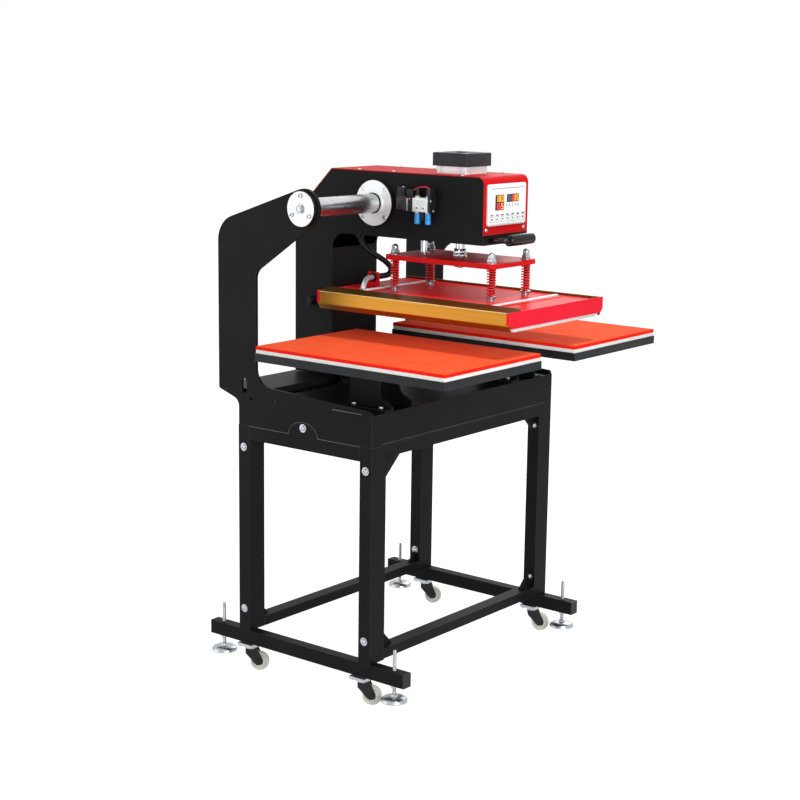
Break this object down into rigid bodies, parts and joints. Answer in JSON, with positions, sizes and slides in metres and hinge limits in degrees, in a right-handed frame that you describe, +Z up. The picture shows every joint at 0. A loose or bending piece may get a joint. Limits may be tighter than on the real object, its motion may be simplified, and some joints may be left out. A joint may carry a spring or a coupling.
{
  "type": "dual station heat press",
  "caption": "Pneumatic heat press on a wheeled stand: a red head slides on a round shaft between two padded platens and lowers a heated plate.",
  "frame": {"origin": "centre of the bounding box, on the floor", "axes": "+X along the shaft, from the left station to the right one as the operator sees them; -Y towards the operator; +Z up"},
  "size_m": [0.961, 0.8535, 1.403],
  "materials": {
    "black_frame": "satin black powder coat",
    "red_paint": "glossy red powder coat",
    "crimson_paint": "glossy crimson paint",
    "gold_sheet": "gold anodised sheet",
    "heater_aluminium": "machined, satin",
    "insulation": "white insulating board",
    "white_board": "white board",
    "orange_silicone": "soft silicone sponge",
    "tray_steel": "dark grey powder coat",
    "polished_shaft": "ground and chromed",
    "disc_aluminium": "turned, satin",
    "zinc_steel": "zinc plated",
    "white_nylon": "white nylon",
    "black_steel": "black pressed steel",
    "panel_white": "printed white overlay",
    "black_rubber": "black rubber",
    "black_plastic": "moulded black plastic",
    "blue_fitting": "blue moulded plastic",
    "cylinder_aluminium": "anodised, silver",
    "spring_red": "red coated spring wire",
    "valve_black": "moulded black plastic"
  },
  "bodies": {
    "frame": {"left_base_beam": "black_frame", "right_base_beam": "black_frame", "front_legs": "black_frame", "rear_legs": "black_frame", "top_rails": "black_frame", "lower_cross_tubes": "black_frame", "left_side_plate": "black_frame", "right_side_plate": "black_frame", "front_panel": "black_frame", "deck_plate": "black_frame", "rear_box_beam": "black_frame", "platen_pedestals": "black_frame", "beam_end_caps": "black_plastic", "frame_fasteners": "zinc_steel", "lower_guide_rail": "zinc_steel", "caster_plates": "zinc_steel", "upper_shaft": "polished_shaft", "shaft_end_discs": "disc_aluminium", "platen_trays": "tray_steel", "platen_boards": "white_board", "platen_pads": "orange_silicone"},
    "head": {"head_left_plate": "black_frame", "head_right_plate": "black_frame", "head_cover": "red_paint", "head_base_plate": "black_frame", "head_web": "black_frame", "shaft_bearings": "disc_aluminium", "lower_carriage": "black_frame", "control_panel": "panel_white", "handle_bar": "black_steel", "handle_grip": "black_rubber", "solenoid_valve": "valve_black", "air_fittings": "blue_fitting", "cylinder_body": "cylinder_aluminium", "cylinder_caps": "black_plastic", "travel_bumpers": "black_rubber", "head_screws": "zinc_steel", "power_conduit": "black_rubber"},
    "heater": {"heater_block": "heater_aluminium", "heater_insulation": "insulation", "heater_skirts": "gold_sheet", "heater_ends": "crimson_paint", "heater_cover": "red_paint", "post_hardware": "zinc_steel", "conduit_bracket": "red_paint", "springs": "spring_red"},
    "ram": {"press_plate": "red_paint", "press_rods": "polished_shaft"},
    "caster_front_left": {"caster_fork_front_left": "black_steel"},
    "wheel_front_left": {"caster_wheel_front_left": "white_nylon"},
    "foot_front_left": {"levelling_foot_front_left": "zinc_steel"},
    "caster_front_right": {"caster_fork_front_right": "black_steel"},
    "wheel_front_right": {"caster_wheel_front_right": "white_nylon"},
    "foot_front_right": {"levelling_foot_front_right": "zinc_steel"},
    "caster_rear_left": {"caster_fork_rear_left": "black_steel"},
    "wheel_rear_left": {"caster_wheel_rear_left": "white_nylon"},
    "foot_rear_left": {"levelling_foot_rear_left": "zinc_steel"},
    "caster_rear_right": {"caster_fork_rear_right": "black_steel"},
    "wheel_rear_right": {"caster_wheel_rear_right": "white_nylon"},
    "foot_rear_right": {"levelling_foot_rear_right": "zinc_steel"}
  },
  "joints": [
    {"name": "head_slide", "type": "slide", "parent": "frame", "child": "head", "axis": [1, 0, 0], "range_m": [-0.2585, 0.2985]},
    {"name": "heater_lift", "type": "slide", "parent": "head", "child": "heater", "axis": [0, 0, 1], "range_m": [-0.068, 0], "deforming": ["power_conduit"]},
    {"name": "press_stroke", "type": "slide", "parent": "heater", "child": "ram", "axis": [0, 0, 1], "range_m": [-0.01, 0], "stiffness_N_per_m": 100000, "springref_m": 0.005, "deforming": ["springs"]},
    {"name": "swivel_front_left", "type": "hinge", "parent": "frame", "child": "caster_front_left", "pos_m": [-0.3875, -0.108, 0.06], "axis": [0, 0, 1], "continuous": true},
    {"name": "roll_front_left", "type": "hinge", "parent": "caster_front_left", "child": "wheel_front_left", "pos_m": [-0.37269, -0.12689, 0.025], "axis": [-0.787, -0.617, 0], "continuous": true},
    {"name": "level_front_left", "type": "slide", "parent": "frame", "child": "foot_front_left", "axis": [0, 0, 1], "range_m": [-0.03, 0.012]},
    {"name": "swivel_front_right", "type": "hinge", "parent": "frame", "child": "caster_front_right", "pos_m": [0.3875, -0.108, 0.06], "axis": [0, 0, 1], "continuous": true},
    {"name": "roll_front_right", "type": "hinge", "parent": "caster_front_right", "child": "wheel_front_right", "pos_m": [0.40231, -0.12689, 0.025], "axis": [-0.787, -0.617, 0], "continuous": true},
    {"name": "level_front_right", "type": "slide", "parent": "frame", "child": "foot_front_right", "axis": [0, 0, 1], "range_m": [-0.03, 0.012]},
    {"name": "swivel_rear_left", "type": "hinge", "parent": "frame", "child": "caster_rear_left", "pos_m": [-0.3875, 0.287, 0.06], "axis": [0, 0, 1], "continuous": true},
    {"name": "roll_rear_left", "type": "hinge", "parent": "caster_rear_left", "child": "wheel_rear_left", "pos_m": [-0.37269, 0.26811, 0.025], "axis": [-0.787, -0.617, 0], "continuous": true},
    {"name": "level_rear_left", "type": "slide", "parent": "frame", "child": "foot_rear_left", "axis": [0, 0, 1], "range_m": [-0.03, 0.012]},
    {"name": "swivel_rear_right", "type": "hinge", "parent": "frame", "child": "caster_rear_right", "pos_m": [0.3875, 0.287, 0.06], "axis": [0, 0, 1], "continuous": true},
    {"name": "roll_rear_right", "type": "hinge", "parent": "caster_rear_right", "child": "wheel_rear_right", "pos_m": [0.40231, 0.26811, 0.025], "axis": [-0.787, -0.617, 0], "continuous": true},
    {"name": "level_rear_right", "type": "slide", "parent": "frame", "child": "foot_rear_right", "axis": [0, 0, 1], "range_m": [-0.03, 0.012]}
  ]
}
